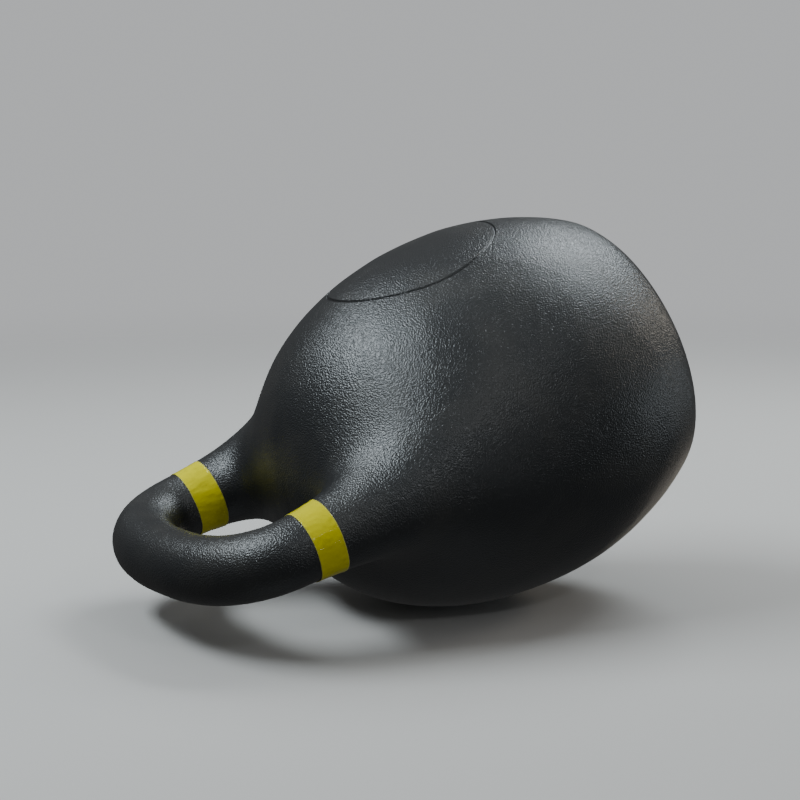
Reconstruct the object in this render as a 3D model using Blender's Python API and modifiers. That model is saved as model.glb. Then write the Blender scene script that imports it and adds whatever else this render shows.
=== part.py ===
"""A cast-iron kettlebell on its flat base, with a coloured tape band round each horn of its handle.

Metres, +Z up. The origin is the centre of the base. The handle stands in the XZ plane, and -Y is the front.
"""

import math

import bmesh
import bpy
import numpy as np
from mathutils import Matrix

# Bell: an egg cut off flat at the base. Half widths, and the height of its widest level.
BELL_HALF_WIDTH = 0.1025
BELL_HALF_DEPTH = 0.0990
BELL_CENTRE_HEIGHT = 0.0870
BELL_RISE = 0.1325  # from the widest level to the crown, before the horns are blended in
BELL_TOP_POWER = 2.23  # 2 is a true ellipse; more makes the shoulder fuller
BELL_FOOT_POWER = 1.93  # the same below the widest level
POWER_ONSET = 0.35  # share of the way up or down at which those powers hold in full
BASE_HALF_WIDTH = 0.0745  # where the bell's side would meet the floor, before the edge is rounded
BASE_EDGE_BLEND = 0.0160  # width of the rounding between the side and the flat base

# Handle: a round bar that follows a squared arch and stands on two horns.
GRIP_RADIUS = 0.0175
HORN_HALF_SPACING = 0.0800  # bar centre, at the foot of the arch
HORN_REACH = 0.0235  # from the bell's crown up to the foot of the arch
HORN_ROOT_RISE = 0.0230  # from the bell's widest level up to the end of a horn, inside the bell
HORN_SPREAD = 0.045  # sideways run of a horn's outer side for each metre that it goes down
HORN_TUCK = 3.0  # how far the outer side turns in, for each square metre of drop below the flare
HORN_BLEND = 0.0750  # width of the smooth blend between horns and bell
ARCH_RISE = 0.0455  # from the foot of the arch up to the bar's centre at the top
ARCH_POWER = 2.5  # more makes the corners squarer
FLARE_DROP = 0.0450  # from the foot of the arch down to where a horn starts to thicken
FLARE_RATE = 4.5  # added radius in metres, for each square metre of drop below that

# Tape bands, one round each horn.
BAND_DROP = 0.0130  # from the foot of the arch down to the lower edge of the tape
BAND_WIDTH = 0.0150
BAND_THICKNESS = 0.0006
BAND_GAP = 0.0005  # clear of the iron all round

# Heights that follow from these.
CROWN_HEIGHT = BELL_CENTRE_HEIGHT + BELL_RISE
ARCH_FOOT_HEIGHT = CROWN_HEIGHT + HORN_REACH
FLARE_HEIGHT = ARCH_FOOT_HEIGHT - FLARE_DROP
HORN_ROOT_HEIGHT = BELL_CENTRE_HEIGHT + HORN_ROOT_RISE
BAND_BOTTOM = ARCH_FOOT_HEIGHT - BAND_DROP

# Fineness of the meshes.
BELL_SPLITS = 5
BAR_ROUNDNESS = 6
CURVE_STEPS = 2000
LINE_STEP = 0.001
BAR_SKIP = 4
BATCH = 20000
ROUGH_STEP = 0.0040  # edge length of the first, rough mesh of the casting
CASTING_FACES = 5000
ENLARGE = 100
BAND_SIDES = 64
BAND_ROWS = 3
SETTLE_ROUNDS = 12
STEP_CAP = 0.0020  # short steps can't fold the skin where bell and horns meet
LEAST_SLOPE = 0.2
WRAP_ROUNDS = 20
PROBE = 1e-5
FLATNESS = 1e-5
SMALL = 1e-9


def clear_scene():
    for obj in list(bpy.data.objects):
        bpy.data.objects.remove(obj, do_unlink=True)


def material(name, colour, roughness, coat):
    made = bpy.data.materials.new(name)
    made.use_nodes = True
    shader = made.node_tree.nodes["Principled BSDF"]
    shader.inputs["Base Color"].default_value = (*colour, 1.0)
    shader.inputs["Roughness"].default_value = roughness
    shader.inputs["Metallic"].default_value = 0.0
    shader.inputs["Coat Weight"].default_value = coat
    return made


def collection(name, hidden=False):
    made = bpy.data.collections.new(name)
    bpy.context.scene.collection.children.link(made)
    made.hide_render = hidden
    return made


def bar_radius(height):
    """Radius of the bar: the grip's, and more where the horns flare into the bell."""
    return GRIP_RADIUS + FLARE_RATE * np.maximum(FLARE_HEIGHT - height, 0.0) ** 2


def horn_x(height):
    """Distance of a horn's centre from the middle plane. Its outer side tucks into the bell further down."""
    outer_side = HORN_HALF_SPACING + GRIP_RADIUS + HORN_SPREAD * (ARCH_FOOT_HEIGHT - height)
    outer_side -= HORN_TUCK * np.maximum(FLARE_HEIGHT - height, 0.0) ** 2
    return outer_side - bar_radius(height)


def bar_line():
    """Evenly spaced x and z up the centre of half the bar, from the horn's root to just past the top."""
    heights = np.linspace(HORN_ROOT_HEIGHT, ARCH_FOOT_HEIGHT, CURVE_STEPS, endpoint=False)
    turns = np.linspace(0, math.pi / 2, CURVE_STEPS)
    arch_x = HORN_HALF_SPACING * np.maximum(np.cos(turns), 0.0) ** (2 / ARCH_POWER)
    arch_z = ARCH_FOOT_HEIGHT + ARCH_RISE * np.sin(turns) ** (2 / ARCH_POWER)
    past = slice(-2, -CURVE_STEPS // 10, -1)
    x = np.concatenate([horn_x(heights), arch_x, -arch_x[past]])
    z = np.concatenate([heights, arch_z, arch_z[past]])
    run = np.concatenate([[0.0], np.cumsum(np.hypot(np.diff(x), np.diff(z)))])
    even = np.arange(0.0, run[-1], LINE_STEP)
    return np.interp(even, run, x), np.interp(even, run, z)


LINE_X, LINE_Z = bar_line()


def smooth_min(a, b, width):
    near = np.maximum(width - np.abs(a - b), 0.0) / width
    return np.minimum(a, b) - near**3 * width / 6


def foot_reach():
    """How far below the widest level the bell would end if it weren't cut off at the base."""
    spread = (BASE_HALF_WIDTH / BELL_HALF_WIDTH) ** BELL_FOOT_POWER
    return BELL_CENTRE_HEIGHT / (1 - spread) ** (1 / BELL_FOOT_POWER)


def bell_distance(x, y, z):
    """About how far points are outside the bell. It is a true ellipse at its widest level."""
    across = np.hypot(x / BELL_HALF_WIDTH, y / BELL_HALF_DEPTH)
    drop = z - BELL_CENTRE_HEIGHT
    reach = np.where(drop < 0, foot_reach(), BELL_RISE)
    ease = np.minimum(np.abs(drop) / (POWER_ONSET * reach), 1.0)
    power = 2 + (np.where(drop < 0, BELL_FOOT_POWER, BELL_TOP_POWER) - 2) * ease * ease * (3 - 2 * ease)
    level = (across**power + (np.abs(drop) / reach) ** power) ** (1 / power)
    side = np.sqrt(x * x + y * y + drop * drop) * (1 - 1 / np.maximum(level, SMALL))
    return -smooth_min(-side, z, BASE_EDGE_BLEND)


def bar_distance(x, y, z):
    """How far points are outside the bar, by a parabola through the three nearest centre-line points."""
    found = np.empty(len(x))
    for first in range(0, len(x), BATCH):
        some = slice(first, first + BATCH)
        away = (np.abs(x[some])[:, None] - LINE_X) ** 2 + (z[some][:, None] - LINE_Z) ** 2
        near = away.argmin(axis=1).clip(1, len(LINE_X) - 2)
        rows = np.arange(len(near))
        before, here, after = away[rows, near - 1], away[rows, near], away[rows, near + 1]
        shift = ((before - after) / (2 * (before - 2 * here + after))).clip(-1, 1)
        least = np.maximum(here - (before - after) * shift / 4, 0.0)
        height = np.interp(near + shift, np.arange(len(LINE_Z)), LINE_Z)
        found[some] = np.sqrt(least + y[some] ** 2) - bar_radius(height)
    return found


def casting_distance(points):
    """About how far points are outside the whole casting: bell and bar, blended where they meet."""
    x, y, z = points.T
    return smooth_min(bell_distance(x, y, z), bar_distance(x, y, z), HORN_BLEND)


def slope_at(points):
    slope = np.empty_like(points)
    for axis in range(3):
        step = np.zeros(3)
        step[axis] = PROBE
        slope[:, axis] = (casting_distance(points + step) - casting_distance(points - step)) / (2 * PROBE)
    return slope


def settle(obj):
    """Moves a mesh's points down the slope until they lie on the casting's surface."""
    mesh = obj.data
    points = np.empty(len(mesh.vertices) * 3)
    mesh.vertices.foreach_get("co", points)
    points = points.reshape(-1, 3)
    for _ in range(SETTLE_ROUNDS):
        slope = slope_at(points)
        steepness = np.maximum(np.linalg.norm(slope, axis=1), LEAST_SLOPE)
        step = np.clip(casting_distance(points) / steepness, -STEP_CAP, STEP_CAP)
        points = points - slope * (step / steepness)[:, None]
    points[np.abs(points[:, 2]) < FLATNESS, 2] = 0.0
    mesh.vertices.foreach_set("co", points.ravel())
    mesh.update()


def rough_bell():
    """An egg of the bell's size, cut flat at the base."""
    mesh = bmesh.new()
    egg = bmesh.ops.create_icosphere(mesh, subdivisions=BELL_SPLITS, radius=1.0)["verts"]
    below = [vertex for vertex in egg if vertex.co.z < 0]
    bmesh.ops.scale(mesh, verts=egg, vec=(BELL_HALF_WIDTH, BELL_HALF_DEPTH, BELL_RISE))
    bmesh.ops.scale(mesh, verts=below, vec=(1, 1, foot_reach() / BELL_RISE))
    bmesh.ops.translate(mesh, verts=egg, vec=(0, 0, BELL_CENTRE_HEIGHT))
    whole = mesh.verts[:] + mesh.edges[:] + mesh.faces[:]
    floor = {"plane_co": (0, 0, 0), "plane_no": (0, 0, -1)}
    cut = bmesh.ops.bisect_plane(mesh, geom=whole, dist=SMALL, clear_outer=True, **floor)["geom_cut"]
    bmesh.ops.edgeloop_fill(mesh, edges=[item for item in cut if isinstance(item, bmesh.types.BMEdge)])
    return mesh


def rough_bar(helpers):
    """The bar and its horns as a round curve whose radius follows the flare."""
    curve = bpy.data.curves.new("bar", "CURVE")
    curve.dimensions = "3D"
    curve.bevel_depth = GRIP_RADIUS
    curve.bevel_resolution = BAR_ROUNDNESS
    curve.use_fill_caps = True
    half = [(x, z) for x, z in zip(LINE_X, LINE_Z) if x > 0][::BAR_SKIP]
    line = half + [(-x, z) for x, z in reversed(half)]
    spline = curve.splines.new("POLY")
    spline.points.add(len(line) - 1)
    for point, (x, z) in zip(spline.points, line):
        point.co = (x, 0, z, 1)
        point.radius = bar_radius(z) / GRIP_RADIUS
    bar = bpy.data.objects.new("bar", curve)
    helpers.objects.link(bar)
    graph = bpy.context.evaluated_depsgraph_get()
    mesh = bpy.data.meshes.new_from_object(bar.evaluated_get(graph))
    bpy.data.objects.remove(bar)
    return mesh


def make_casting(parts, helpers, finish):
    """Bell and bar remeshed into one skin, which then settles on the casting's exact surface."""
    both = rough_bell()
    both.from_mesh(rough_bar(helpers))
    rough = bpy.data.meshes.new("rough_casting")
    both.to_mesh(rough)
    both.free()

    casting = bpy.data.objects.new("kettlebell_casting", rough)
    parts.objects.link(casting)
    bpy.context.view_layer.objects.active = casting
    casting.select_set(True)
    rough.remesh_voxel_size = ROUGH_STEP
    bpy.ops.object.voxel_remesh()
    settle(casting)
    # The quad remesher refuses edges under a tenth of a millimetre, so it works on an enlarged mesh.
    casting.data.transform(Matrix.Scale(ENLARGE, 4))
    bpy.ops.object.quadriflow_remesh(target_faces=CASTING_FACES, use_mesh_symmetry=False, seed=1)
    casting.data.transform(Matrix.Scale(1 / ENLARGE, 4))
    settle(casting)
    casting.data.name = "kettlebell_casting"
    casting.data.materials.clear()
    casting.data.materials.append(finish)
    casting.data.shade_smooth()


def horn_centre(heights):
    """Distance of the bar's centre from the middle plane, at heights up to the top of the arch."""
    rising = slice(0, LINE_Z.argmax())
    return np.interp(heights, LINE_Z[rising], LINE_X[rising])


def round_horn(side, turns, heights):
    """Points this far round a horn and this high, each the band's gap clear of the iron."""
    middle = side * horn_centre(heights)
    radius = np.full(len(turns), GRIP_RADIUS)
    for _ in range(WRAP_ROUNDS):
        points = np.stack([middle + radius * np.cos(turns), radius * np.sin(turns), heights], axis=1)
        radius = radius - (casting_distance(points) - BAND_GAP)
    return points


def make_band(name, side, parts, finish):
    """A short tube drawn onto the horn, given its thickness by a modifier."""
    mesh = bmesh.new()
    bmesh.ops.create_cone(mesh, segments=BAND_SIDES, radius1=1.0, radius2=1.0, depth=1.0, cap_ends=False)
    upright = [edge for edge in mesh.edges if edge.verts[0].co.z * edge.verts[1].co.z < 0]
    bmesh.ops.subdivide_edges(mesh, edges=upright, cuts=BAND_ROWS - 1)
    tube = np.array([vertex.co for vertex in mesh.verts])
    heights = BAND_BOTTOM + (tube[:, 2] + 0.5) * BAND_WIDTH
    turns = np.arctan2(tube[:, 1], tube[:, 0])
    for vertex, point in zip(mesh.verts, round_horn(side, turns, heights)):
        vertex.co = point
    data = bpy.data.meshes.new(name)
    mesh.to_mesh(data)
    mesh.free()
    data.materials.append(finish)
    data.shade_smooth()
    band = bpy.data.objects.new(name, data)
    parts.objects.link(band)
    wall = band.modifiers.new("wall", "SOLIDIFY")
    wall.thickness = BAND_THICKNESS
    wall.offset = 1.0


def main():
    clear_scene()
    parts = collection("kettlebell")
    helpers = collection("helpers", hidden=True)
    coat = material("black_powder_coat", (0.035, 0.037, 0.040), roughness=0.42, coat=0.2)
    tape = material("yellow_tape", (0.82, 0.78, 0.05), roughness=0.3, coat=0.3)
    make_casting(parts, helpers, coat)
    make_band("tape_band_right", 1, parts, tape)
    make_band("tape_band_left", -1, parts, tape)


main()
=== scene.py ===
"""Looks of a black iron kettlebell with a yellow tape band round each horn of its handle.

Run in Blender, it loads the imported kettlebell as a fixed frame, models the fine casting and the tape over
it, and sets up a small studio. Everything is in metres and stands as the kettlebell does on its base: +Z is
up and -Y is the front.
"""

import math
from functools import partial
from types import SimpleNamespace

import bmesh
import bpy
import numpy as np
from mathutils import Matrix, Vector


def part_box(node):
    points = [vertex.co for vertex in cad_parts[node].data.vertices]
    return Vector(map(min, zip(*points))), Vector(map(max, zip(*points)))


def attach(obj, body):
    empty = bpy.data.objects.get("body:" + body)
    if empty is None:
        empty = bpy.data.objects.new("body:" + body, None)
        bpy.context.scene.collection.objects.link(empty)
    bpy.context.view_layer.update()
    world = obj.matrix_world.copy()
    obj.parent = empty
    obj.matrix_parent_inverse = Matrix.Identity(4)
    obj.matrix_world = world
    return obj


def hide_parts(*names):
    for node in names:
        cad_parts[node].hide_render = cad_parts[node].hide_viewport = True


bl_info = {
    "name": "Iron Kettlebell",
    "version": (1, 0, 0),
    "blender": (4, 5, 0),
    "location": "View3D > Sidebar > Kettlebell",
    "description": "Models a powder-coated iron kettlebell with tape bands on its horns",
    "category": "Add Mesh",
}

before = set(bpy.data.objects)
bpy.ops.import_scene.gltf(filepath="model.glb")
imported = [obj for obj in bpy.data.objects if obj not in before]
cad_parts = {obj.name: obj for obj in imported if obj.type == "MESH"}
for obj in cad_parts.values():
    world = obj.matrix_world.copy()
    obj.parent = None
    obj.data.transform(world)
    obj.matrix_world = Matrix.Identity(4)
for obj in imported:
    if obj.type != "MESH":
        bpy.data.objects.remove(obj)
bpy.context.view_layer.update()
BAND_LOW, BAND_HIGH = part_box("tape_band_right")

# How the casting is worked out and meshed.
CURVE_STEPS = 2000  # points along a horn, and along half the arch, before they are spaced evenly
LINE_STEP = 0.001  # spacing of the even points
POWER_ONSET = 0.35  # share of the bell's reach over which it leaves the true ellipse
CASTING_WAVES = (24, 0.018, 0.070)  # how many gentle waves, and their shortest and longest spacing
BASE_FADE = 0.012  # height below which the unevenness fades out
ROUGH_STEP = 0.004  # edge length of the first remesh
FOOT_SQUASH = 0.9  # height of the rough bell's lower half against its upper half
MARK_REACHES = (4.5, 2.6, 1.7)  # where faces are split, in half groove widths from the groove's middle
LONGEST_MOVE = 0.002  # the furthest that a point settles in one round
LEAST_SLOPE = 0.2  # a gentler slope counts as this much
BATCH = 20000  # points measured at a time
TINY = 1e-9

# How the tape lies. Turns are in radians.
TAPE_FACES = (240, 26)  # along the strip and across it
TAPE_CLEARANCE = 0.00008  # from the iron to the tape's inner face
EDGE_WANDER = 0.00012  # how far the tape strays from level
WANDER_WAVES = (8, 0.012, 0.040)
CREASE_WAVES = (26, 0.0016, 0.0060)
CREASE_DRAW = (1.0, 0.45, 1.0)  # waves are drawn out across the strip
FOLD_WAVES = (14, 0.004, 0.010)
FOLD_DRAW = (1.0, 0.25, 1.0)
FOLD_ONSET = 0.7  # only what rises above this becomes a fold
FOLD_HEIGHT = 2.2  # against a crease's height
EDGE_CURL = 0.00010
CURL_REACH = 0.0007
LAP_TURN = 0.05  # over which the tape climbs onto its own start
LAP_HEIGHT = 1.15  # in thicknesses
LIFT_TURN = 0.06  # over which the cut end lifts
END_LIFT = 0.00022
TAPE_ROUNDS = 16
CUT_ACROSS = 0.0005  # how far the pale cut edge reaches in from a side
CUT_ALONG = 0.0006  # and from the end

COARSE_GRAIN = 0.33  # scale of the coarse grain against the fine one
MIX_SOCKETS = {"FLOAT": (2, 3, 0), "RGBA": (6, 7, 2)}  # a Mix node's two inputs and its output

# The studio. A light has a name, the azimuth and elevation that it comes from, a width and height, a power
# and a tint.
COOL = (0.90, 0.965, 1.0)
WARM = (1.0, 0.90, 0.76)
WHITE = (1.0, 1.0, 1.0)
BELL_LIGHTS = (
    ("key_back_right", 38, 50, 0.85, 0.36, 8.4, COOL),
    ("left_strip", -98, 50, 1.15, 0.30, 11.0, COOL),
    ("right_low", 76, -2, 0.55, 0.40, 0.9, COOL),
    ("under", 155, -78, 1.00, 0.60, 0.2, COOL),
    ("warm_right", 64, 25, 0.35, 0.26, 1.6, WARM),
    ("warm_low", 26, -20, 0.50, 0.24, 0.22, WARM),
)
BAND_LIGHTS = (
    ("glint_high", 147, 37, 0.10, 0.10, 0.8, WHITE),
    ("glint_low", 134, -4, 0.05, 0.10, 0.3, WHITE),
)
LIGHT_DISTANCE = 1.3
SKY_STOPS = ((0.0, 0.07), (0.30, 0.06), (0.55, 0.09), (0.80, 0.20), (1.0, 0.30))  # from below to above
FLOOR_SIDES = 96
FLOOR_FADE = (0.35, 0.98)  # where the floor starts and ends fading, as shares of its reach


def length(name, description, default):
    """A length that a user may change, in metres."""
    return bpy.props.FloatProperty(
        name=name,
        description=description,
        default=default,
        min=0.0,
        precision=4,
        unit="LENGTH",
        subtype="DISTANCE",
    )


def offset(name, description, default):
    """A place to one side or the other, in metres."""
    return bpy.props.FloatProperty(name=name, description=description, default=default, unit="LENGTH")


def angle(name, description, default):
    """An angle, in radians."""
    return bpy.props.FloatProperty(name=name, description=description, default=default, subtype="ANGLE")


def number(name, description, default, low=0.0):
    return bpy.props.FloatProperty(name=name, description=description, default=default, min=low, precision=3)


def colour(name, description, default):
    return bpy.props.FloatVectorProperty(
        name=name, description=description, default=default, size=3, min=0.0, max=1.0, subtype="COLOR"
    )


class IronSizes(bpy.types.PropertyGroup):
    """Sizes of the one-piece casting."""

    bell_half_width: length("Bell half width", "Half the bell's width at its widest level", 0.1025)
    bell_half_depth: length("Bell half depth", "Half the bell's depth, front to back", 0.0990)
    bell_centre: length("Bell centre", "Height of the bell's widest level", 0.0870)
    bell_rise: length("Bell rise", "From the widest level to the crown", 0.1325)
    bell_top_power: number("Shoulder fullness", "2 is a true ellipse, more is fuller", 2.23, 1.0)
    bell_foot_power: number("Foot fullness", "2 is a true ellipse, more is fuller", 1.93, 1.0)
    base_half_width: length("Base half width", "Half the base's width before its edge is rounded", 0.0745)
    base_blend: length("Base edge", "Width of the rounding round the base", 0.0160)
    grip_radius: length("Grip radius", "Radius of the handle's bar", 0.0175)
    horn_spacing: length("Horn spacing", "From the middle to a horn's centre, at the arch's foot", 0.0800)
    horn_reach: length("Horn reach", "From the bell's crown up to the foot of the arch", 0.0235)
    horn_root_rise: length("Horn root", "From the widest level up to a horn's end inside the bell", 0.0230)
    horn_spread: number("Horn spread", "Sideways run of a horn's outer side for each metre down", 0.045)
    horn_tuck: number("Horn tuck", "How fast the outer side turns in below the flare, per metre", 3.0)
    horn_blend: length("Horn blend", "Width of the smooth blend between horns and bell", 0.0750)
    arch_rise: length("Arch rise", "From the foot of the arch up to the bar's centre at the top", 0.0455)
    arch_power: number("Arch squareness", "2 is a true ellipse, more is squarer", 2.5, 1.0)
    flare_drop: length("Flare drop", "From the foot of the arch down to where a horn thickens", 0.0450)
    flare_rate: number("Flare rate", "How fast a horn thickens, per metre", 4.5)
    mesh_step: length("Mesh step", "Edge length of the casting's mesh", 0.0015)
    waviness: length("Waviness", "Height of the gentle unevenness that sand casting leaves", 0.00012)


class MarkSizes(bpy.types.PropertyGroup):
    """The plain ring cast into the front of the bell."""

    radius: length("Radius", "Radius of the ring", 0.0480)
    centre: length("Centre", "Height of the ring's centre", 0.1050)
    line: length("Line", "Half the width of the groove", 0.0009)
    depth: length("Depth", "Depth of the groove", 0.0010)


class TapeSizes(bpy.types.PropertyGroup):
    """The tape wound once round each horn."""

    bottom: length("Bottom", "Height of the tape's lower edge", BAND_LOW.z)
    width: length("Width", "Width of the tape", BAND_HIGH.z - BAND_LOW.z)
    thickness: length("Thickness", "Thickness of the tape", 0.00018)
    overlap: angle("Overlap", "How far the tape runs over its own start", 0.35)
    end_turn: angle("End", "Where the cut end lies, from the outer side towards the back", 1.75)
    pucker: length("Pucker", "Height of the small wrinkles", 0.00006)


class Finish(bpy.types.PropertyGroup):
    """Colours of the iron's coat and of the tape."""

    coat: colour("Coat", "Powder coat", (0.0170, 0.0190, 0.0210))
    coat_dust: colour("Coat dust", "Paler tone where the coat is dusty or rubbed", (0.036, 0.036, 0.034))
    tape: colour("Tape", "Face of the tape", (0.97, 0.90, 0.010))
    tape_edge: colour("Tape edge", "Cut edges of the tape", (0.86, 0.84, 0.16))


class Studio(bpy.types.PropertyGroup):
    """How the kettlebell lies, and the camera and lights round it."""

    yaw: angle("Yaw", "How far the base end points away from the camera", 0.4712)
    dip: angle("Dip", "How far the handle end hangs below level", 0.3412)
    roll: angle("Roll", "Turn about the kettlebell's own long axis", 0.0402)
    pitch: angle("Pitch", "How far the camera looks down", 0.1519)
    distance: length("Distance", "From the camera to the bell's centre, along the lens", 1.3403)
    aside: offset("Aside", "How far right of the lens axis the bell's centre is", 0.0496)
    below: offset("Below", "How far below the lens axis the bell's centre is", 0.0030)
    lens: number("Lens", "Focal length in millimetres for a sensor 36 mm wide", 110.3, 1.0)
    floor_colour: colour("Floor", "The floor's colour", (0.70, 0.70, 0.69))
    wall_colour: colour("Wall", "Colour behind the floor", (0.50, 0.51, 0.52))
    floor_reach: length("Floor reach", "Radius at which the floor has faded out", 1.60)


# --- The casting's surface, as a distance that is zero on it --------------------------------------------


def plain(group):
    """A property group's values as plain numbers, which are quicker to read in a loop."""
    return SimpleNamespace(**{name: getattr(group, name) for name in group.__annotations__})


def bar_radius(s, height):
    return s.grip_radius + s.flare_rate * np.maximum(s.flare_height - height, 0.0) ** 2


def horn_x(s, height):
    """Distance of a horn's centre from the middle plane. Its outer side tucks into the bell further down."""
    outer = s.horn_spacing + s.grip_radius + s.horn_spread * (s.arch_foot - height)
    outer -= s.horn_tuck * np.maximum(s.flare_height - height, 0.0) ** 2
    return outer - bar_radius(s, height)


def bar_line(s):
    """Evenly spaced x and z up the centre of half the bar, from the horn's root to just past the top."""
    heights = np.linspace(s.horn_root, s.arch_foot, CURVE_STEPS, endpoint=False)
    turns = np.linspace(0, math.pi / 2, CURVE_STEPS)
    arch_x = s.horn_spacing * np.maximum(np.cos(turns), 0.0) ** (2 / s.arch_power)
    arch_z = s.arch_foot + s.arch_rise * np.sin(turns) ** (2 / s.arch_power)
    past = slice(-2, -CURVE_STEPS // 10, -1)
    x = np.concatenate([horn_x(s, heights), arch_x, -arch_x[past]])
    z = np.concatenate([heights, arch_z, arch_z[past]])
    run = np.concatenate([[0.0], np.cumsum(np.hypot(np.diff(x), np.diff(z)))])
    even = np.arange(0.0, run[-1], LINE_STEP)
    return np.interp(even, run, x), np.interp(even, run, z)


def smooth_min(a, b, width):
    near = np.maximum(width - np.abs(a - b), 0.0) / width
    return np.minimum(a, b) - near**3 * width / 6


def foot_reach(s):
    """How far below the widest level the bell would end if it weren't cut off at the base."""
    spread = (s.base_half_width / s.bell_half_width) ** s.bell_foot_power
    return s.bell_centre / (1 - spread) ** (1 / s.bell_foot_power)


def bell_distance(s, x, y, z):
    """About how far points are outside the bell, whose side is a true ellipse at its widest level."""
    across = np.hypot(x / s.bell_half_width, y / s.bell_half_depth)
    drop = z - s.bell_centre
    reach = np.where(drop < 0, foot_reach(s), s.bell_rise)
    ease = np.minimum(np.abs(drop) / (POWER_ONSET * reach), 1.0)
    power = 2 + (np.where(drop < 0, s.bell_foot_power, s.bell_top_power) - 2) * ease * ease * (3 - 2 * ease)
    level = (across**power + (np.abs(drop) / reach) ** power) ** (1 / power)
    side = np.sqrt(x * x + y * y + drop * drop) * (1 - 1 / np.maximum(level, TINY))
    return -smooth_min(-side, z, s.base_blend)


def bar_distance(s, x, y, z):
    """How far points are outside the bar, by a parabola through the three nearest points of its middle."""
    line_x, line_z = s.bar_line
    found = np.empty(len(x))
    for first in range(0, len(x), BATCH):
        some = slice(first, first + BATCH)
        side = np.abs(x[some])
        up = z[some]
        rough_x = side.astype(np.float32)[:, None] - line_x.astype(np.float32)
        rough_z = up.astype(np.float32)[:, None] - line_z.astype(np.float32)
        near = (rough_x * rough_x + rough_z * rough_z).argmin(axis=1).clip(1, len(line_x) - 2)
        three = [(side - line_x[near + i]) ** 2 + (up - line_z[near + i]) ** 2 for i in (-1, 0, 1)]
        before, here, after = three
        shift = ((before - after) / (2 * (before - 2 * here + after))).clip(-1, 1)
        least = np.maximum(here - (before - after) * shift / 4, 0.0)
        height = np.interp(near + shift, np.arange(len(line_z)), line_z)
        found[some] = np.sqrt(least + y[some] ** 2) - bar_radius(s, height)
    return found


def casting_distance(s, points):
    """About how far points are outside the whole casting: bell and bar, blended where they meet."""
    x, y, z = points.T
    return smooth_min(bell_distance(s, x, y, z), bar_distance(s, x, y, z), s.horn_blend)


def wave_set(count, short, long, seed):
    """Directions, spacings and phases of gentle waves that add up to an uneven surface."""
    random = np.random.default_rng(seed)
    ways = random.normal(size=(count, 3))
    ways /= np.linalg.norm(ways, axis=1)[:, None]
    spacing = random.uniform(short, long, count)
    return ways * (math.tau / spacing)[:, None], random.uniform(0, math.tau, count)


def uneven(points, waves):
    """Between about -1 and 1, changing slowly over the surface."""
    ways, phases = waves
    return np.sin(points @ ways.T + phases).sum(axis=1) / math.sqrt(len(phases))


def mark_distance(m, points):
    """How far points on the front are from the line of the ring."""
    away = np.abs(np.hypot(points[:, 0], points[:, 2] - m.centre) - m.radius)
    return np.where(points[:, 1] < 0, away, 1.0)


def groove(m, points):
    """1 along the middle of the mark's groove, falling to 0 at its sides."""
    return np.clip(1 - (mark_distance(m, points) / m.line) ** 2, 0.0, 1.0)


def finished_distance(s, m, points):
    """The casting with its unevenness, which fades out at the base, and its cast-in mark."""
    lift = np.clip(points[:, 2] / BASE_FADE, 0.0, 1.0)
    rough = s.waviness * lift * uneven(points, s.waves)
    return casting_distance(s, points) + rough + m.depth * groove(m, points)


def slope_of(distance, points, here, probe=2e-5):
    """How a distance changes along each axis, given its value at the points."""
    slope = np.empty_like(points)
    for axis in range(3):
        step = np.zeros(3)
        step[axis] = probe
        slope[:, axis] = (distance(points + step) - here) / probe
    return slope


def onto(distance, points, rounds):
    """Moves points down the slope of a distance to where it is zero, in short steps that don't cross."""
    for _ in range(rounds):
        here = distance(points)
        slope = slope_of(distance, points, here)
        steepness = np.linalg.norm(slope, axis=1)
        step = np.clip(here / np.maximum(steepness, LEAST_SLOPE), -LONGEST_MOVE, LONGEST_MOVE)
        points = points - slope * (step / np.maximum(steepness, LEAST_SLOPE))[:, None]
    return points


# --- Meshes ---------------------------------------------------------------------------------------------


def points_of(mesh):
    points = np.empty(len(mesh.vertices) * 3)
    mesh.vertices.foreach_get("co", points)
    return points.reshape(-1, 3)


def set_points(mesh, points):
    mesh.vertices.foreach_set("co", points.ravel())
    mesh.update()


def new_object(name, mesh, *materials):
    data = bpy.data.meshes.new(name)
    mesh.to_mesh(data)
    mesh.free()
    obj = bpy.data.objects.new(name, data)
    bpy.context.scene.collection.objects.link(obj)
    for material in materials:
        data.materials.append(material)
    return obj


def add_rough_bell(mesh, s):
    """An egg of about the bell's size, cut off at the base."""
    made = bmesh.ops.create_icosphere(mesh, subdivisions=5, radius=1.0)["verts"]
    foot = [vertex for vertex in made if vertex.co.z < 0]
    bmesh.ops.scale(mesh, verts=made, vec=(s.bell_half_width, s.bell_half_depth, s.bell_rise))
    bmesh.ops.scale(mesh, verts=foot, vec=(1.0, 1.0, FOOT_SQUASH))
    bmesh.ops.translate(mesh, verts=made, vec=(0, 0, s.bell_centre))
    whole = mesh.verts[:] + mesh.edges[:] + mesh.faces[:]
    below = (0, 0, -1)
    cut = bmesh.ops.bisect_plane(mesh, geom=whole, plane_co=(0, 0, 0), plane_no=below, clear_outer=True)
    rim = [item for item in cut["geom_cut"] if isinstance(item, bmesh.types.BMEdge)]
    bmesh.ops.edgeloop_fill(mesh, edges=rim)


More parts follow.
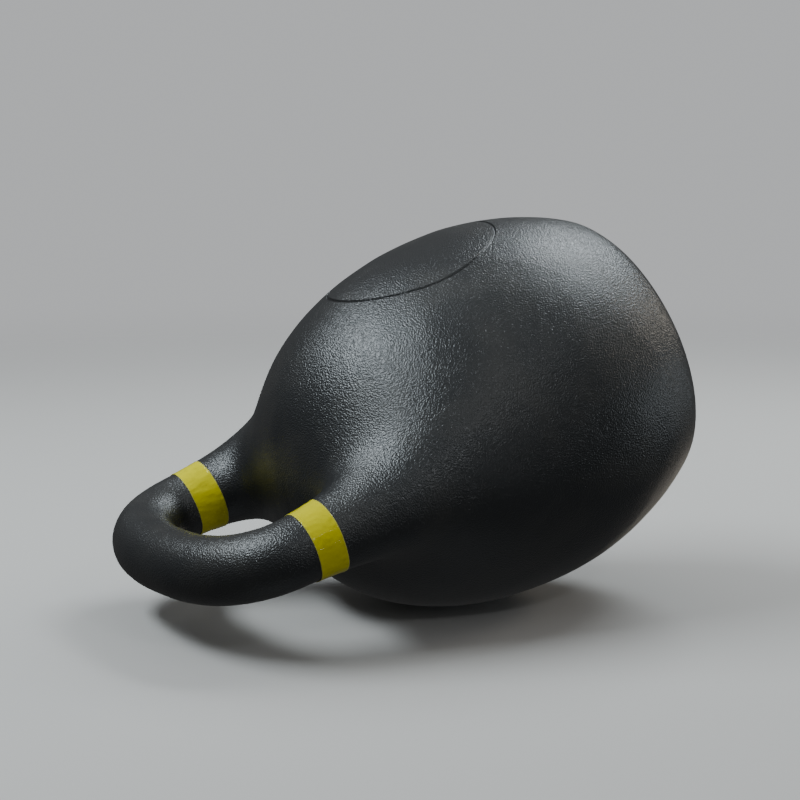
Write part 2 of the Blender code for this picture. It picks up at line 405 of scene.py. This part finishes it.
def add_rough_bar(mesh, s, sides=20, skip=4):
    """A round section drawn along the horns and over the arch."""
    half = [(x, z) for x, z in zip(*s.bar_line) if x > 0][::skip]
    line = half + [(-x, z) for x, z in reversed(half)]
    ring = bmesh.ops.create_circle(mesh, cap_ends=True, segments=sides, radius=1.0)["verts"]
    edges = list({edge for vertex in ring for edge in vertex.link_edges})
    placed = Matrix.Identity(4)
    for i, (x, z) in enumerate(line):
        ahead = Vector(line[min(i + 1, len(line) - 1)]) - Vector(line[max(i - 1, 0)])
        turned = Vector((ahead.x, 0, ahead.y)).to_track_quat("Z", "Y").to_matrix().to_4x4()
        radius = float(bar_radius(s, z))
        wanted = Matrix.Translation((x, 0, z)) @ turned @ Matrix.Scale(radius, 4)
        if i:
            made = bmesh.ops.extrude_edge_only(mesh, edges=edges)["geom"]
            ring = [item for item in made if isinstance(item, bmesh.types.BMVert)]
            edges = [item for item in made if isinstance(item, bmesh.types.BMEdge)]
            edges = [edge for edge in edges if edge.verts[0] in ring and edge.verts[1] in ring]
        bmesh.ops.transform(mesh, matrix=wanted @ placed.inverted(), verts=ring)
        placed = wanted
    bmesh.ops.edgeloop_fill(mesh, edges=edges)
    bmesh.ops.recalc_face_normals(mesh, faces=mesh.faces)


def refine_mark(mesh, m):
    """Splits the faces near the mark until they are finer than its groove."""
    for reach in MARK_REACHES:
        points = np.array([edge.verts[0].co + edge.verts[1].co for edge in mesh.edges]) / 2
        near = mark_distance(m, points) < reach * m.line
        edges = [edge for edge, inside in zip(mesh.edges, near) if inside]
        bmesh.ops.subdivide_edges(mesh, edges=edges, cuts=1, use_grid_fill=True)
        mesh.edges.ensure_lookup_table()
    bmesh.ops.triangulate(mesh, faces=[face for face in mesh.faces if len(face.verts) > 4])


def make_casting(s, m, material):
    """Bell and bar as one skin, remeshed coarsely and then finely as it settles on the casting's surface."""
    mesh = bmesh.new()
    add_rough_bell(mesh, s)
    add_rough_bar(mesh, s)
    obj = new_object("iron_casting", mesh, material)
    bpy.context.view_layer.objects.active = obj
    for step, rounds in ((ROUGH_STEP, 9), (s.mesh_step, 2)):
        obj.data.remesh_voxel_size = step
        bpy.ops.object.voxel_remesh()
        set_points(obj.data, onto(partial(casting_distance, s), points_of(obj.data), rounds))

    mesh = bmesh.new()
    mesh.from_mesh(obj.data)
    every_axis = {"use_axis_x": True, "use_axis_y": True, "use_axis_z": True}
    bmesh.ops.smooth_vert(mesh, verts=mesh.verts, factor=0.5, **every_axis)
    refine_mark(mesh, m)
    mesh.to_mesh(obj.data)
    mesh.free()

    finished = partial(finished_distance, s, m)
    points = onto(finished, points_of(obj.data), rounds=3)
    set_points(obj.data, points)
    # How far each point lies in the mark's groove; the powder coat uses it to paint shade into the groove.
    shade = obj.data.attributes.new("mark", "FLOAT", "POINT")
    shade.data.foreach_set("value", groove(m, points).astype(np.float32))
    obj.data.shade_smooth()
    slope = slope_of(finished, points, finished(points))
    slope /= np.linalg.norm(slope, axis=1)[:, None]
    obj.data.normals_split_custom_set_from_vertices(slope.tolist())
    return obj


def tape_stand(t, run, border, turn, strip, seed):
    """How far the strip's points stand off the iron: puckers, curled edges, the lap and the lifted end."""
    creases = uneven(strip * CREASE_DRAW, wave_set(*CREASE_WAVES, seed + 5))
    folds = np.clip(uneven(strip * FOLD_DRAW, wave_set(*FOLD_WAVES, seed + 9)) - FOLD_ONSET, 0.0, 1.0)
    lap = np.clip((turn - t.end_turn + t.overlap - math.tau) / LAP_TURN + 0.5, 0.0, 1.0)
    curl = EDGE_CURL * np.exp(-((border / CURL_REACH) ** 2))
    last = np.clip((run - 1) * (math.tau + t.overlap) / LIFT_TURN + 1, 0.0, 1.0)
    puckers = t.pucker * (creases + FOLD_HEIGHT * folds)
    return TAPE_CLEARANCE + t.thickness * LAP_HEIGHT * lap + puckers + curl + END_LIFT * last**2


def make_tape(name, side, s, t, material, seed):
    """One strip wound once round a horn and over its own start, with small puckers."""
    along, across = TAPE_FACES
    mesh = bmesh.new()
    grid = bmesh.ops.create_grid(mesh, x_segments=along, y_segments=across, size=0.5, calc_uvs=False)
    made = grid["verts"]
    run = np.array([vertex.co.x + 0.5 for vertex in made])
    over = np.array([vertex.co.y + 0.5 for vertex in made])

    total = math.tau + t.overlap
    turn = t.end_turn - t.overlap + run * total
    strip = np.stack([run * total * s.grip_radius, over * t.width, np.full(len(run), seed * 0.1)], axis=1)
    height = t.bottom + over * t.width + EDGE_WANDER * uneven(strip, wave_set(*WANDER_WAVES, seed))
    border = np.minimum(over, 1 - over) * t.width
    clear = tape_stand(t, run, border, turn, strip, seed)

    line_x, line_z = s.bar_line
    rising = slice(0, line_z.argmax())
    middle = np.interp(height, line_z[rising], line_x[rising])
    radius = np.full(len(run), s.grip_radius)
    for _ in range(TAPE_ROUNDS):
        points = np.stack([middle + radius * np.cos(turn), radius * np.sin(turn), height], axis=1)
        radius = radius - (casting_distance(s, points) - clear)
    points[:, 0] *= side
    layer = mesh.loops.layers.uv.new("Strip")
    for vertex, point, u, v in zip(made, points, run * total * s.grip_radius, over * t.width):
        vertex.co = point
        for loop in vertex.link_loops:
            loop[layer].uv = (u, v)
    bmesh.ops.recalc_face_normals(mesh, faces=mesh.faces)
    probe = next(iter(mesh.faces))
    outward = probe.calc_center_median() - Vector((side * middle[0], 0, probe.calc_center_median().z))
    if probe.normal.dot(outward) < 0:
        bmesh.ops.reverse_faces(mesh, faces=mesh.faces)
    obj = new_object(name, mesh, material)
    cut = np.minimum(border / CUT_ACROSS, (1 - run) * total * s.grip_radius / CUT_ALONG)
    shade = obj.data.attributes.new("cut", "FLOAT", "POINT")
    shade.data.foreach_set("value", np.clip(1 - cut, 0.0, 1.0).astype(np.float32))
    for face in obj.data.polygons:
        face.use_smooth = True
    wall = obj.modifiers.new("wall", "SOLIDIFY")
    wall.thickness = t.thickness
    wall.offset = 1.0
    return obj


# --- Materials ------------------------------------------------------------------------------------------


def node(tree, kind, settings=None, **inputs):
    """A shader node with its settings and its unlinked inputs, given by name."""
    made = tree.nodes.new(kind)
    for name, value in (settings or {}).items():
        setattr(made, name, value)
    for name, value in inputs.items():
        made.inputs[name.replace("_", " ")].default_value = value
    return made


def ramp(tree, source, stops):
    """A grey ramp over a value, with (position, brightness) stops."""
    made = tree.nodes.new("ShaderNodeValToRGB")
    while len(made.color_ramp.elements) < len(stops):
        made.color_ramp.elements.new(0.5)
    for element, (place, level) in zip(made.color_ramp.elements, stops):
        element.position = place
        element.color = (level, level, level, 1)
    tree.links.new(source.outputs[0], made.inputs["Fac"])
    return made


def group(name, inputs, outputs):
    """An empty node group whose sockets are given as name: default, and its input and output nodes."""
    tree = bpy.data.node_groups.new(name, "ShaderNodeTree")
    for title, default in inputs.items():
        kind = "NodeSocketVector" if default is None else "NodeSocketFloat"
        socket = tree.interface.new_socket(name=title, in_out="INPUT", socket_type=kind)
        if default is not None:
            socket.default_value = default
    for title in outputs:
        tree.interface.new_socket(name=title, in_out="OUTPUT", socket_type="NodeSocketFloat")
    return tree, tree.nodes.new("NodeGroupInput"), tree.nodes.new("NodeGroupOutput")


def place_group(tree, name, vector, **inputs):
    made = tree.nodes.new("ShaderNodeGroup")
    made.node_tree = bpy.data.node_groups[name]
    for title, value in inputs.items():
        made.inputs[title.replace("_", " ")].default_value = value
    tree.links.new(vector, made.inputs["Vector"])
    return made


def math_node(tree, operation, first, second=None, value=None, clamp=False):
    """A Math node fed by one or two sockets, or by one socket and a fixed value."""
    made = node(tree, "ShaderNodeMath", {"operation": operation, "use_clamp": clamp})
    tree.links.new(first, made.inputs[0])
    if second is not None:
        tree.links.new(second, made.inputs[1])
    if value is not None:
        made.inputs[1].default_value = value
    return made


def make_grain_group():
    """Fine grain: the height of fused powder or of vinyl."""
    inputs = {"Vector": None, "Scale": 1400.0, "Coarse share": 0.5}
    tree, entry, result = group("Fine grain", inputs, ("Height",))
    fine = node(tree, "ShaderNodeTexNoise", Detail=0.6, Roughness=0.5)
    coarse = node(tree, "ShaderNodeTexNoise", Detail=1.0, Roughness=0.5)
    third = math_node(tree, "MULTIPLY", entry.outputs["Scale"], value=COARSE_GRAIN)
    tree.links.new(entry.outputs["Vector"], fine.inputs["Vector"])
    tree.links.new(entry.outputs["Vector"], coarse.inputs["Vector"])
    tree.links.new(entry.outputs["Scale"], fine.inputs["Scale"])
    tree.links.new(third.outputs[0], coarse.inputs["Scale"])
    weighed = math_node(tree, "MULTIPLY", coarse.outputs["Fac"], entry.outputs["Coarse share"])
    total = math_node(tree, "ADD", fine.outputs["Fac"], weighed.outputs[0])
    tree.links.new(total.outputs[0], result.inputs["Height"])


def make_smudge_group():
    """Broad, soft-edged patches, from 0 to 1, where a surface is handled, dusty or rubbed."""
    tree, entry, result = group("Smudges", {"Vector": None, "Scale": 30.0, "Spread": 0.5}, ("Amount",))
    cloud = node(tree, "ShaderNodeTexNoise", Detail=4.0, Roughness=0.6, Distortion=0.4)
    tree.links.new(entry.outputs["Vector"], cloud.inputs["Vector"])
    tree.links.new(entry.outputs["Scale"], cloud.inputs["Scale"])
    above = math_node(tree, "SUBTRACT", cloud.outputs["Fac"], entry.outputs["Spread"])
    steep = math_node(tree, "MULTIPLY", above.outputs[0], value=4.0, clamp=True)
    tree.links.new(steep.outputs[0], result.inputs["Amount"])


def mix(tree, kind, factor, first, second):
    """A Mix node's result between two ends, each of them a socket or a fixed value of the node's kind."""
    made = node(tree, "ShaderNodeMix", {"data_type": kind})
    tree.links.new(factor, made.inputs["Factor"])
    first_entry, second_entry, result = MIX_SOCKETS[kind]
    for entry, value in ((first_entry, first), (second_entry, second)):
        if isinstance(value, bpy.types.NodeSocket):
            tree.links.new(value, made.inputs[entry])
        else:
            made.inputs[entry].default_value = value
    return made.outputs[result]


def opaque(value):
    """A colour with full alpha, or a socket left as it is."""
    return value if isinstance(value, bpy.types.NodeSocket) else (*value, 1.0)


def mix_colour(tree, factor, first, second):
    return mix(tree, "RGBA", factor, opaque(first), opaque(second))


def mix_value(tree, factor, first, second):
    return mix(tree, "FLOAT", factor, first, second)


def new_material(name):
    made = bpy.data.materials.new(name)
    made.use_nodes = True
    tree = made.node_tree
    return made, tree, tree.nodes["Principled BSDF"], tree.nodes["Material Output"]


def powder_coat(finish):
    """Black powder coat on cast iron: fine sandy grain, broad dusty patches and small rubbed ones, with
    painted shade darkening the groove of the cast-in mark.
    """
    made, tree, shader, _ = new_material("black powder coat")
    place = node(tree, "ShaderNodeTexCoord").outputs["Object"]
    grain = place_group(tree, "Fine grain", place, Scale=1250.0, Coarse_share=0.22)
    dusty = place_group(tree, "Smudges", place, Scale=22.0, Spread=0.46)
    small = place_group(tree, "Smudges", place, Scale=130.0, Spread=0.60)

    tone = mix_colour(tree, dusty.outputs["Amount"], finish.coat, finish.coat_dust)
    # Painted shade: the base colour goes to near black along the mark's groove, standing in for the shade
    # inside the recess.
    groove_painted_shade = node(tree, "ShaderNodeAttribute", {"attribute_name": "mark"})
    tone = mix_colour(tree, groove_painted_shade.outputs["Fac"], tone, (0.006, 0.006, 0.007))
    tree.links.new(tone, shader.inputs["Base Color"])

    rough = mix_value(tree, dusty.outputs["Amount"], 0.31, 0.37)
    rough = mix_value(tree, small.outputs["Amount"], rough, 0.28)
    tree.links.new(rough, shader.inputs["Roughness"])
    shader.inputs["Specular IOR Level"].default_value = 1.0
    shader.inputs["Specular Tint"].default_value = (0.92, 0.97, 1.0, 1.0)

    bump = node(tree, "ShaderNodeBump", Strength=1.0, Distance=0.00036)
    tree.links.new(grain.outputs["Height"], bump.inputs["Height"])
    tree.links.new(bump.outputs[0], shader.inputs["Normal"])
    return made


def vinyl_tape(finish):
    """Glossy yellow tape, with a faint lengthwise drag, handling marks and pale cut edges."""
    made, tree, shader, _ = new_material("yellow vinyl tape")
    strip = node(tree, "ShaderNodeUVMap", {"uv_map": "Strip"}).outputs[0]
    place = node(tree, "ShaderNodeTexCoord").outputs["Object"]
    smudge = place_group(tree, "Smudges", place, Scale=180.0, Spread=0.52)
    grain = place_group(tree, "Fine grain", place, Scale=2600.0, Coarse_share=0.8)
    drag = node(tree, "ShaderNodeMapping")
    drag.inputs["Scale"].default_value = (160.0, 2600.0, 1.0)
    tree.links.new(strip, drag.inputs["Vector"])
    lines = node(tree, "ShaderNodeTexNoise", Scale=1.0, Detail=2.0)
    tree.links.new(drag.outputs[0], lines.inputs["Vector"])

    cut = node(tree, "ShaderNodeAttribute", {"attribute_name": "cut"})
    dull = tuple(0.82 * part for part in finish.tape)
    tone = mix_colour(tree, smudge.outputs["Amount"], finish.tape, dull)
    tone = mix_colour(tree, cut.outputs["Fac"], tone, finish.tape_edge)
    tree.links.new(tone, shader.inputs["Base Color"])

    rough = mix_value(tree, smudge.outputs["Amount"], 0.10, 0.22)
    tree.links.new(rough, shader.inputs["Roughness"])
    shader.inputs["Specular IOR Level"].default_value = 0.18
    height = math_node(tree, "MULTIPLY", lines.outputs["Fac"], value=0.6)
    height = math_node(tree, "ADD", height.outputs[0], grain.outputs["Height"])
    bump = node(tree, "ShaderNodeBump", Strength=0.35, Distance=0.00006)
    tree.links.new(height.outputs[0], bump.inputs["Height"])
    tree.links.new(bump.outputs[0], shader.inputs["Normal"])
    return made


# --- Studio ---------------------------------------------------------------------------------------------


def room_to_part(studio):
    """Turns room directions (x right, y away from the camera, z up) into the kettlebell's own directions."""
    yaw, dip, roll = studio.yaw, studio.dip, studio.roll
    handle_way = Vector((-math.cos(dip) * math.cos(yaw), -math.cos(dip) * math.sin(yaw), -math.sin(dip)))
    down_way = Vector((math.sin(dip) * math.cos(yaw), math.sin(dip) * math.sin(yaw), -math.cos(dip)))
    side_way = down_way.cross(handle_way)
    across = math.cos(roll) * side_way + math.sin(roll) * down_way
    back = math.cos(roll) * down_way - math.sin(roll) * side_way
    return Matrix((across, back, handle_way))


def toward(azimuth, elevation):
    """A room direction: azimuth 0 is away from the camera and 90 is to the right, both in degrees."""
    turn = math.radians(azimuth)
    rise = math.radians(elevation)
    return Vector((math.cos(rise) * math.sin(turn), math.cos(rise) * math.cos(turn), math.sin(rise)))


def axes_matrix(x_axis, y_axis, z_axis, place):
    made = Matrix((x_axis, y_axis, z_axis)).transposed().to_4x4()
    made.translation = place
    return made


def add_camera(studio, turn, middle):
    """The camera, placed from where the bell's centre stands in its view."""
    ahead = Vector((0, math.cos(studio.pitch), -math.sin(studio.pitch)))
    up = Vector((0, math.sin(studio.pitch), math.cos(studio.pitch)))
    right = Vector((1, 0, 0))
    place = middle - turn @ (studio.distance * ahead + studio.aside * right - studio.below * up)
    data = bpy.data.cameras.new("camera")
    data.sensor_width = 36.0
    data.lens = studio.lens
    data.clip_start = 0.05
    data.clip_end = 30.0
    camera = bpy.data.objects.new("camera", data)
    camera.matrix_world = axes_matrix(turn @ right, turn @ up, turn @ -ahead, place)
    bpy.context.scene.collection.objects.link(camera)
    bpy.context.scene.camera = camera


def add_softbox(turn, target, name, azimuth, elevation, width, height, power, tint):
    """A rectangular area light that faces a target, given by its direction from it."""
    way = toward(azimuth, elevation)
    place = target + turn @ way * LIGHT_DISTANCE
    data = bpy.data.lights.new(name, "AREA")
    data.shape = "RECTANGLE"
    data.size = width
    data.size_y = height
    data.energy = power
    data.color = tint
    side = Vector((way.y, -way.x, 0)).normalized()
    box = bpy.data.objects.new(name, data)
    box.matrix_world = axes_matrix(turn @ side, turn @ way.cross(side), turn @ way, place)
    bpy.context.scene.collection.objects.link(box)


def floor_material(studio):
    """Pale to the camera, and clear from behind, at its rim, and to light and reflections."""
    made, tree, shader, output = new_material("studio floor")
    tree.nodes.remove(shader)
    paint = node(tree, "ShaderNodeBsdfDiffuse", Color=(*studio.floor_colour, 1.0))
    clear = node(tree, "ShaderNodeBsdfTransparent")
    place = node(tree, "ShaderNodeTexCoord")
    span = node(tree, "ShaderNodeVectorMath", {"operation": "LENGTH"})
    tree.links.new(place.outputs["Object"], span.inputs[0])
    fade = node(tree, "ShaderNodeMapRange", {"interpolation_type": "SMOOTHERSTEP"})
    fade.inputs["From Min"].default_value = studio.floor_reach * FLOOR_FADE[0]
    fade.inputs["From Max"].default_value = studio.floor_reach * FLOOR_FADE[1]
    tree.links.new(span.outputs["Value"], fade.inputs["Value"])
    behind = node(tree, "ShaderNodeNewGeometry").outputs["Backfacing"]
    path = node(tree, "ShaderNodeLightPath")
    unseen = math_node(tree, "LESS_THAN", path.outputs["Is Camera Ray"], value=0.5)
    hidden = math_node(tree, "MAXIMUM", fade.outputs[0], behind)
    hidden = math_node(tree, "MAXIMUM", hidden.outputs[0], unseen.outputs[0])
    blend = node(tree, "ShaderNodeMixShader")
    tree.links.new(hidden.outputs[0], blend.inputs[0])
    tree.links.new(paint.outputs[0], blend.inputs[1])
    tree.links.new(clear.outputs[0], blend.inputs[2])
    tree.links.new(blend.outputs[0], output.inputs["Surface"])
    return made


def add_floor(studio, turn, middle):
    """A disc under the kettlebell as it lies, touching the lowest point of its bell."""
    up = turn @ Vector((0, 0, 1))
    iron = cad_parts["kettlebell_casting"].data
    lowest = min(vertex.co @ up for vertex in iron.vertices)
    under = middle + up * (lowest - middle @ up)
    mesh = bmesh.new()
    bmesh.ops.create_circle(mesh, cap_ends=True, segments=FLOOR_SIDES, radius=studio.floor_reach)
    floor = new_object("studio_floor", mesh, floor_material(studio))
    floor.matrix_world = axes_matrix(turn @ Vector((1, 0, 0)), turn @ Vector((0, 1, 0)), up, under)


def set_world(studio, turn):
    """Pale behind the kettlebell; a soft gradient, brighter above, in its reflections."""
    world = bpy.data.worlds.new("studio")
    bpy.context.scene.world = world
    world.use_nodes = True
    tree = world.node_tree
    tree.nodes.clear()
    way = node(tree, "ShaderNodeTexCoord")
    rise = node(tree, "ShaderNodeVectorMath", {"operation": "DOT_PRODUCT"})
    rise.inputs[1].default_value = turn @ Vector((0, 0, 1))
    tree.links.new(way.outputs["Generated"], rise.inputs[0])
    level = node(tree, "ShaderNodeMapRange")
    level.inputs["From Min"].default_value = -1.0
    level.inputs["From Max"].default_value = 1.0
    tree.links.new(rise.outputs["Value"], level.inputs["Value"])
    sky = ramp(tree, level, SKY_STOPS)
    path = node(tree, "ShaderNodeLightPath")
    seen = mix_colour(tree, path.outputs["Is Camera Ray"], sky.outputs["Color"], tuple(studio.wall_colour))
    shine = node(tree, "ShaderNodeBackground")
    tree.links.new(seen, shine.inputs["Color"])
    output = node(tree, "ShaderNodeOutputWorld")
    tree.links.new(shine.outputs[0], output.inputs["Surface"])


# --- Operators and panel --------------------------------------------------------------------------------


def settings(scene):
    """The casting's values with those worked out from them, then the mark's and the tape's."""
    s = plain(scene.kettlebell_iron)
    s.arch_foot = s.bell_centre + s.bell_rise + s.horn_reach
    s.flare_height = s.arch_foot - s.flare_drop
    s.horn_root = s.bell_centre + s.horn_root_rise
    s.bar_line = bar_line(s)
    s.waves = wave_set(*CASTING_WAVES, seed=7)
    return s, plain(scene.kettlebell_mark), plain(scene.kettlebell_tape)


class KETTLEBELL_OT_materials(bpy.types.Operator):
    """Make the powder coat and the tape's vinyl"""

    bl_idname = "kettlebell.materials"
    bl_label = "Materials"

    def execute(self, context):
        make_grain_group()
        make_smudge_group()
        powder_coat(context.scene.kettlebell_finish)
        vinyl_tape(context.scene.kettlebell_finish)
        return {"FINISHED"}


class KETTLEBELL_OT_casting(bpy.types.Operator):
    """Model the iron casting, bell and handle in one piece"""

    bl_idname = "kettlebell.casting"
    bl_label = "Iron casting"

    def execute(self, context):
        s, m, _ = settings(context.scene)
        casting = make_casting(s, m, bpy.data.materials["black powder coat"])
        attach(casting, "root")
        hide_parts("kettlebell_casting")
        return {"FINISHED"}


class KETTLEBELL_OT_tape(bpy.types.Operator):
    """Wind a band of tape round each horn"""

    bl_idname = "kettlebell.tape"
    bl_label = "Tape bands"

    def execute(self, context):
        s, _, t = settings(context.scene)
        vinyl = bpy.data.materials["yellow vinyl tape"]
        for side, hand, seed in ((-1, "left", 11), (1, "right", 23)):
            band = make_tape(f"tape_{hand}", side, s, t, vinyl, seed)
            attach(band, "root")
            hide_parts(f"tape_band_{hand}")
        return {"FINISHED"}


class KETTLEBELL_OT_stage(bpy.types.Operator):
    """Set up the floor, the lights and the camera"""

    bl_idname = "kettlebell.stage"
    bl_label = "Studio"

    def execute(self, context):
        studio = context.scene.kettlebell_studio
        turn = room_to_part(studio)
        middle = Vector((0, 0, context.scene.kettlebell_iron.bell_centre))
        add_camera(studio, turn, middle)
        add_floor(studio, turn, middle)
        set_world(studio, turn)
        band = Vector((-context.scene.kettlebell_iron.horn_spacing, 0, (BAND_LOW.z + BAND_HIGH.z) / 2))
        for light in BELL_LIGHTS:
            add_softbox(turn, middle, *light)
        for light in BAND_LIGHTS:
            add_softbox(turn, band, *light)
        return {"FINISHED"}


class KETTLEBELL_PT_panel(bpy.types.Panel):
    """Lists the steps and the sizes in the sidebar"""

    bl_label = "Kettlebell"
    bl_idname = "KETTLEBELL_PT_panel"
    bl_space_type = "VIEW_3D"
    bl_region_type = "UI"
    bl_category = "Kettlebell"

    def draw(self, context):
        for step in STEPS:
            self.layout.operator(step.bl_idname)
        for group_name in GROUP_NAMES:
            sizes = getattr(context.scene, group_name)
            box = self.layout.box()
            for name in sizes.__annotations__:
                box.prop(sizes, name)


GROUP_NAMES = {
    "kettlebell_iron": IronSizes,
    "kettlebell_mark": MarkSizes,
    "kettlebell_tape": TapeSizes,
    "kettlebell_finish": Finish,
    "kettlebell_studio": Studio,
}
STEPS = (KETTLEBELL_OT_materials, KETTLEBELL_OT_casting, KETTLEBELL_OT_tape, KETTLEBELL_OT_stage)
CLASSES = (*GROUP_NAMES.values(), *STEPS, KETTLEBELL_PT_panel)


def register():
    for item in CLASSES:
        bpy.utils.register_class(item)
    for name, kind in GROUP_NAMES.items():
        setattr(bpy.types.Scene, name, bpy.props.PointerProperty(type=kind))


def unregister():
    for name in GROUP_NAMES:
        delattr(bpy.types.Scene, name)
    for item in reversed(CLASSES):
        bpy.utils.unregister_class(item)


def main():
    register()
    bpy.ops.kettlebell.materials()
    bpy.ops.kettlebell.casting()
    bpy.ops.kettlebell.tape()
    bpy.ops.kettlebell.stage()


if __name__ == "__main__":
    main()
